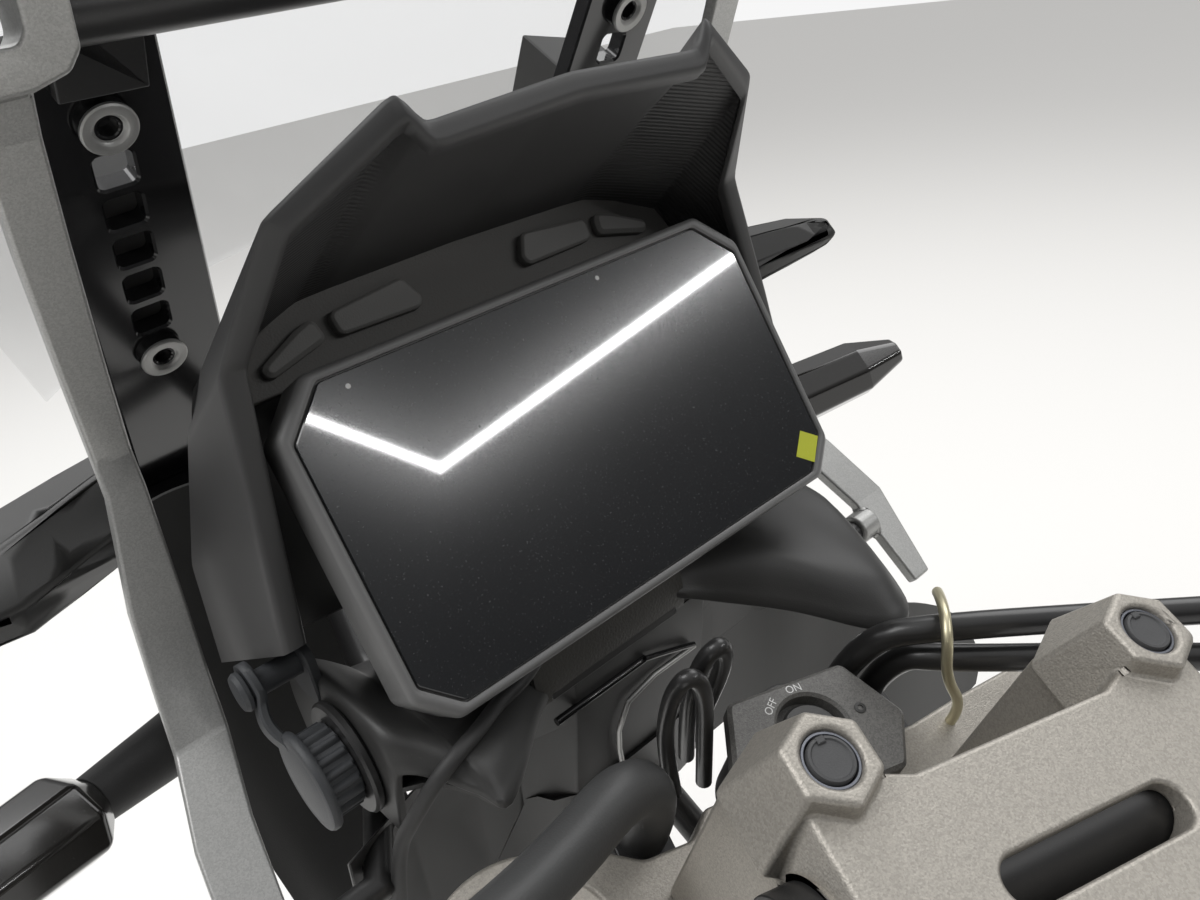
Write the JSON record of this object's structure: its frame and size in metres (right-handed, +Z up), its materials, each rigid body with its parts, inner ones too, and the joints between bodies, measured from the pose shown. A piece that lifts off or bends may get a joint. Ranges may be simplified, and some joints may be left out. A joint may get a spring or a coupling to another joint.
{
  "type": "motorcycle cockpit",
  "caption": "Motorcycle cockpit: hooded display and cowls on a tube stay, ladder rails with a height-adjustable windscreen, and a turning handlebar with clamp, lock and hoses.",
  "frame": {"origin": "middle of the weld face behind the steering head", "axes": "+X to the rider's right, +Y forward, +Z up; the bars are stored turned 17 degrees to the right"},
  "size_m": [0.8718, 0.5942, 0.6605],
  "materials": {
    "display_glass": "gloss",
    "display_bezel": "satin",
    "display_housing": "matt",
    "display_hood": "grained",
    "hood_panel": "grained",
    "panel_pads": "grained",
    "display_bracket": "satin",
    "cockpit_stay": "satin",
    "steering_head": "satin",
    "screen_rail": "gloss",
    "rail_clamp": "gloss",
    "accessory_bar": "satin",
    "windscreen": "clear",
    "screen_slide": "matt",
    "side_bar": "silver satin",
    "deflector_wing": "gloss",
    "signal_stalk": "matt",
    "signal_lamp": "gloss",
    "cowl": "grained",
    "power_socket": "gloss",
    "socket_cap": "matt",
    "casting": "sand cast, warm grey",
    "steel": "brushed",
    "handlebar": "dark anodised",
    "lock_plate": "satin",
    "grip": "matt",
    "bar_end": "dark",
    "switch": "matt",
    "lever": "dark anodised",
    "hose": "matt",
    "sleeve": "matt"
  },
  "bodies": {
    "cockpit": {"display_glass": "display_glass", "display_bezel": "display_bezel", "display_housing": "display_housing", "display_hood": "display_hood", "hood_panel": "hood_panel", "panel_pads": "panel_pads", "display_bracket": "display_bracket", "cockpit_stay": "cockpit_stay", "steering_head": "steering_head", "accessory_bar": "accessory_bar", "power_socket": "power_socket", "socket_cap": "socket_cap", "screen_rail_left": "screen_rail", "screen_rail_right": "screen_rail", "rail_clamp_left": "rail_clamp", "rail_clamp_right": "rail_clamp", "side_bar_left": "side_bar", "side_bar_right": "side_bar", "deflector_wing_left": "deflector_wing", "deflector_wing_right": "deflector_wing", "signal_stalk_left": "signal_stalk", "signal_stalk_right": "signal_stalk", "signal_lamp_left": "signal_lamp", "signal_lamp_right": "signal_lamp", "cowl_right": "cowl", "centre_panel": "cowl", "socket_console": "cowl"},
    "steering": {"top_clamp": "casting", "steering_stem": "steel", "stem_nut": "steel", "handlebar": "handlebar", "riser_block": "casting", "bar_clamp": "casting", "clamp_bolts": "steel", "lock_plate": "lock_plate", "lock_body": "steel", "key_cylinder": "steel", "cable_guide": "steel", "hose_blocks": "casting", "brake_hose": "hose", "throttle_hose": "hose", "clutch_sleeve": "sleeve", "grip_left": "grip", "grip_right": "grip", "bar_end_left": "bar_end", "bar_end_right": "bar_end", "switch_left": "switch", "switch_right": "switch", "lever_perch_left": "casting", "lever_perch_right": "casting", "lever_left": "lever", "lever_right": "lever"},
    "screen": {"windscreen": "windscreen", "screen_slide_left": "screen_slide", "screen_slide_right": "screen_slide"}
  },
  "joints": [
    {"name": "steering", "type": "hinge", "parent": "cockpit", "child": "steering", "pos_m": [0, -0.064, 0.225], "axis": [0, -0.4384, 0.8988], "range_deg": [-22, 56]},
    {"name": "screen_height", "type": "slide", "parent": "cockpit", "child": "screen", "axis": [0, -0.5592, 0.829], "range_m": [0, 0.045]}
  ]
}
